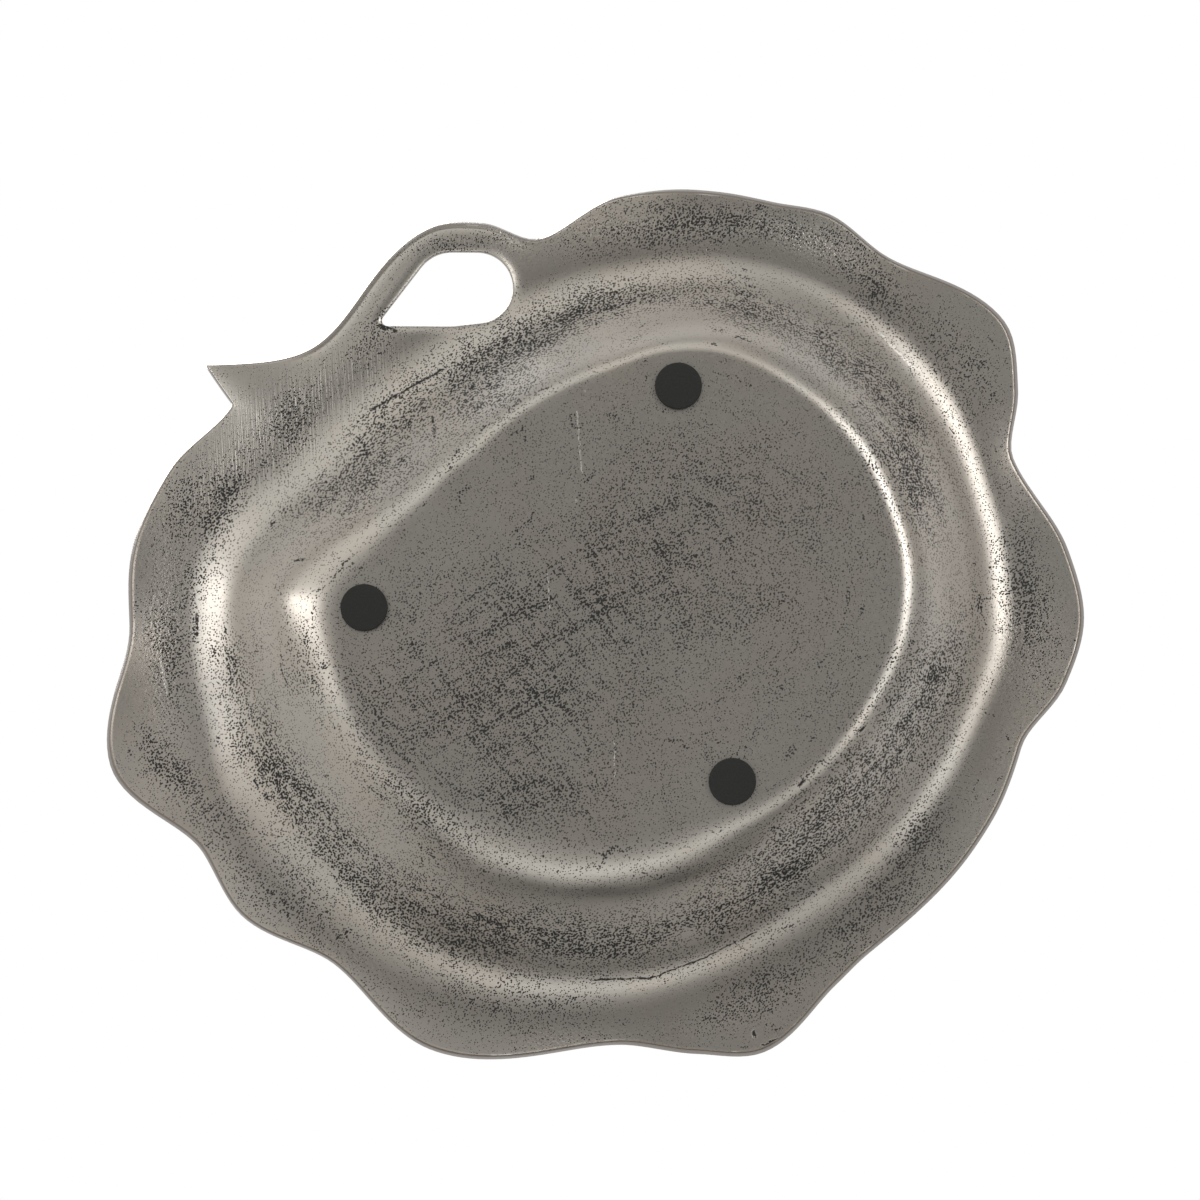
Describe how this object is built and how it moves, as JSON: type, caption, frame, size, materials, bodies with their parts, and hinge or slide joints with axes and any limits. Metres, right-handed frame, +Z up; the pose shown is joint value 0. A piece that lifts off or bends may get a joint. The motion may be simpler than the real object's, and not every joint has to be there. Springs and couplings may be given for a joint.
{
  "type": "serving platter",
  "caption": "Cast metal platter with a ruffled, leaf-like rim, a stem that loops into a finger handle, a dished well and a flat base on stick-on pads.",
  "frame": {"origin": "middle of the platter's plan, on the table that the pads stand on", "axes": "+Z up, out of the dish; +X along the platter's length, away from the stem's tip; the stem handle is on the -Y side, towards -X"},
  "size_m": [0.4031, 0.3605, 0.0473],
  "materials": {
    "cast_metal": "satin, sand-cast, with dark patina left in the grain",
    "pad_foam": "matte",
    "adhesive": "thin clear film"
  },
  "bodies": {
    "root": {"casting": "cast_metal", "pad_front": "pad_foam", "pad_left": "pad_foam", "pad_back": "pad_foam", "film_front": "adhesive", "film_left": "adhesive", "film_back": "adhesive"}
  },
  "joints": []
}
